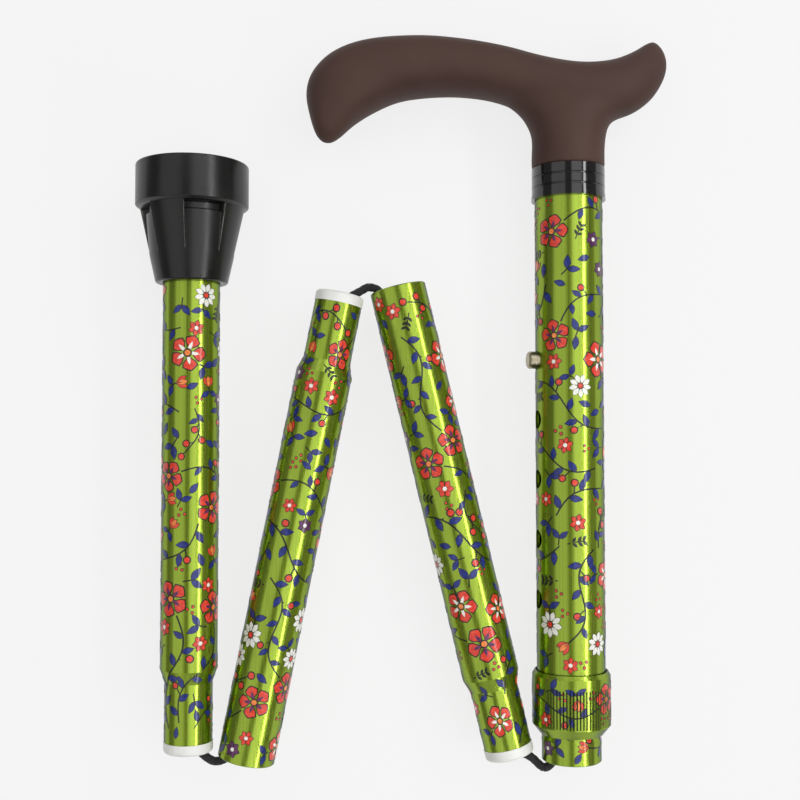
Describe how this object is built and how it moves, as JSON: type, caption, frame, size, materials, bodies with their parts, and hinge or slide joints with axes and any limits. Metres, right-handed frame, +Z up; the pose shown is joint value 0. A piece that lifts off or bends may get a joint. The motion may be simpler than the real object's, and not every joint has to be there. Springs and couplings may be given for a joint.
{
  "type": "folding cane",
  "caption": "Folding walking cane with a derby handle, height-adjusting upper tube, lock ring, elastic-linked sections and a flared rubber tip, lying half folded.",
  "frame": {"origin": "bottom centre of the box round the cane as it lies half folded on a table", "axes": "+Y along the upper tube toward the handle, +X from the tip section to the handle section, +Z up from the table"},
  "size_m": [0.1901, 0.2605, 0.04],
  "materials": {
    "soft_touch": "matt",
    "black_gloss": "gloss",
    "printed_green": "clear-coated metallic green with a floral print",
    "black_plastic": "satin",
    "white_plastic": "satin",
    "spring_steel": "plain",
    "button_metal": "polished",
    "elastic": "woven",
    "black_rubber": "satin"
  },
  "bodies": {
    "handle_section": {"handle": "soft_touch", "handle_collar": "black_gloss", "upper_tube": "printed_green", "collet": "black_plastic"},
    "compression_ring": {"compression_ring": "white_plastic"},
    "lock_ring": {"lock_ring": "printed_green"},
    "adjusting_section": {"inner_tube": "printed_green", "guide_bush": "white_plastic", "button_spring": "spring_steel", "cord_anchor_top": "white_plastic", "top_knot": "elastic", "elastic_top": "elastic"},
    "snap_button": {"snap_button": "button_metal"},
    "cord_link_1": {"elastic_fold_1": "elastic"},
    "second_section": {"second_tube": "printed_green", "second_bush": "white_plastic", "elastic_second": "elastic"},
    "cord_link_2a": {"elastic_fold_2a": "elastic"},
    "cord_link_2b": {"elastic_fold_2b": "elastic"},
    "third_section": {"third_tube": "printed_green", "third_bush": "white_plastic", "elastic_third": "elastic"},
    "cord_link_3": {"elastic_fold_3": "elastic"},
    "tip_section": {"tip_tube": "printed_green", "tip_bush": "white_plastic", "elastic_tip": "elastic", "cord_anchor_bottom": "white_plastic", "bottom_knot": "elastic", "rubber_ferrule": "black_rubber", "ferrule_washer": "spring_steel"}
  },
  "joints": [
    {"name": "height_adjust", "type": "slide", "parent": "handle_section", "child": "adjusting_section", "axis": [0, -1, 0], "range_m": [0, 0.084], "deforming": ["snap_button"]},
    {"name": "button_press", "type": "slide", "parent": "adjusting_section", "child": "snap_button", "axis": [0.9756, 0, -0.2196], "range_m": [0, 0.0056], "stiffness_N_per_m": 600, "deforming": ["button_spring"]},
    {"name": "ring_advance", "type": "slide", "parent": "handle_section", "child": "compression_ring", "axis": [0, 1, 0], "range_m": [0, 0.0015]},
    {"name": "ring_turn", "type": "hinge", "parent": "compression_ring", "child": "lock_ring", "pos_m": [0.05927, -0.11335, 0.0137], "axis": [0, 1, 0], "range_deg": [0, 270]},
    {"name": "fold_1", "type": "hinge", "parent": "adjusting_section", "child": "cord_link_1", "pos_m": [0.04887, -0.12655, 0.01419], "axis": [0.0468, 0, 0.9989], "range_deg": [0, 166.5], "deforming": ["elastic_fold_1"]},
    {"name": "plug_1", "type": "slide", "parent": "cord_link_1", "child": "second_section", "axis": [0.2332, -0.9724, -0.0109], "range_m": [0, 0.0303]},
    {"name": "unfold_2", "type": "hinge", "parent": "second_section", "child": "cord_link_2a", "pos_m": [-0.01173, 0.03783, 0.01703], "axis": [-0.0468, 0, -0.9989], "range_deg": [0, 155.2], "deforming": ["elastic_fold_2a"]},
    {"name": "fold_2", "type": "hinge", "parent": "cord_link_2a", "child": "cord_link_2b", "pos_m": [-0.01173, 0.03783, 0.01703], "axis": [-0.0468, 0, -0.9989], "range_deg": [-24.8, 0], "deforming": ["elastic_fold_2b"]},
    {"name": "plug_2", "type": "slide", "parent": "cord_link_2b", "child": "third_section", "axis": [0.1957, 0.9806, -0.0092], "range_m": [0, 0.0278]},
    {"name": "fold_3", "type": "hinge", "parent": "third_section", "child": "cord_link_3", "pos_m": [-0.06488, -0.12439, 0.01952], "axis": [0.0468, 0, 0.9989], "range_deg": [-10.5, 168.7], "deforming": ["elastic_fold_3"]},
    {"name": "plug_3", "type": "slide", "parent": "cord_link_3", "child": "tip_section", "axis": [0, -1, 0], "range_m": [0, 0.0269]}
  ],
  "couplings": [
    {"joint": "ring_turn", "follows": "ring_advance", "rad_per_m": 3141.6},
    {"joint": "unfold_2", "follows": "fold_1", "ratio": 0.93213}
  ]
}
